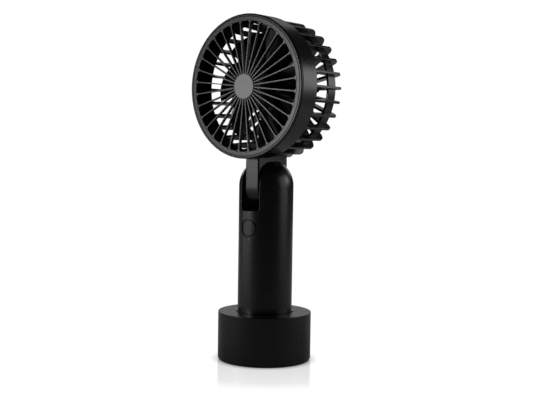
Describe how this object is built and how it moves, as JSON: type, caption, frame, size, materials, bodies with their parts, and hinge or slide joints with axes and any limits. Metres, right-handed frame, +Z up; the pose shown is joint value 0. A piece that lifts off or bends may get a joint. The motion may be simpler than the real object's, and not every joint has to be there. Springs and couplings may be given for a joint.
{
  "type": "hand-held fan with stand",
  "caption": "Hand-held fan: round grilled head on a tilting neck, slotted round handle with a power button, standing in a weighted round base.",
  "frame": {"origin": "centre of the base's underside, which stands on the table", "axes": "+Z up along the handle; the fan blows towards -Y; +X is to the right of somebody who looks at the grille"},
  "size_m": [0.09, 0.06, 0.2193],
  "materials": {
    "satin_black": "satin moulded",
    "inner_black": "matte moulded",
    "badge_grey": "satin",
    "impeller_black": "semi-gloss moulded",
    "steel": "turned, plated",
    "brass": "turned",
    "core_steel": "laminated",
    "cast_weight": "zinc plated",
    "magnet": "sintered",
    "copper": "enamelled wire",
    "board_green": "solder mask",
    "lead_sheath": "insulated",
    "washer_nylon": "moulded",
    "cell_wrap": "shrink wrapped",
    "chip_black": "moulded",
    "light_clear": "clear",
    "pad_rubber": "matte"
  },
  "bodies": {
    "base": {"base_shell": "satin_black", "base_weight": "cast_weight", "base_plate": "inner_black", "base_screws": "steel", "base_pad": "pad_rubber"},
    "handle": {"handle_tube": "satin_black", "hinge_cradle": "inner_black", "cradle_screws": "steel", "inner_chassis": "inner_black", "battery_cell": "cell_wrap", "battery_tabs": "steel", "main_board": "board_green", "board_parts": "chip_black", "usb_socket": "steel", "usb_tongue": "chip_black", "button_board": "board_green", "tact_switch": "chip_black", "status_led": "light_clear", "light_pipe": "light_clear", "handle_leads": "lead_sheath", "bottom_cap": "satin_black", "cap_screws": "steel", "hinge_axle": "steel", "hinge_nut": "steel", "hinge_washers": "washer_nylon"},
    "button": {"power_button": "satin_black", "switch_plunger": "chip_black"},
    "head": {"front_grille": "satin_black", "grille_badge": "badge_grey", "head_shell": "satin_black", "rear_cap": "satin_black", "motor_bearings": "steel", "motor_mount": "brass", "motor_screws": "steel", "stator_core": "core_steel", "stator_coils": "copper", "motor_board": "board_green", "motor_leads": "lead_sheath", "neck_arm": "satin_black", "neck_screws": "steel"},
    "rotor": {"impeller": "impeller_black", "rotor_cup": "steel", "magnet_ring": "magnet", "motor_shaft": "steel", "shaft_clip": "steel"}
  },
  "joints": [
    {"name": "handle_lift", "type": "slide", "parent": "base", "child": "handle", "axis": [0, 0, 1], "range_m": [0, 0.035]},
    {"name": "head_tilt", "type": "hinge", "parent": "handle", "child": "head", "pos_m": [0, 0, 0.1115], "axis": [1, 0, 0], "range_deg": [-90, 90]},
    {"name": "impeller_spin", "type": "hinge", "parent": "head", "child": "rotor", "pos_m": [0, 0, 0.1743], "axis": [0, -1, 0], "continuous": true},
    {"name": "button_press", "type": "slide", "parent": "handle", "child": "button", "axis": [0, 1, 0], "range_m": [0, 0.0005], "stiffness_N_per_m": 900}
  ]
}
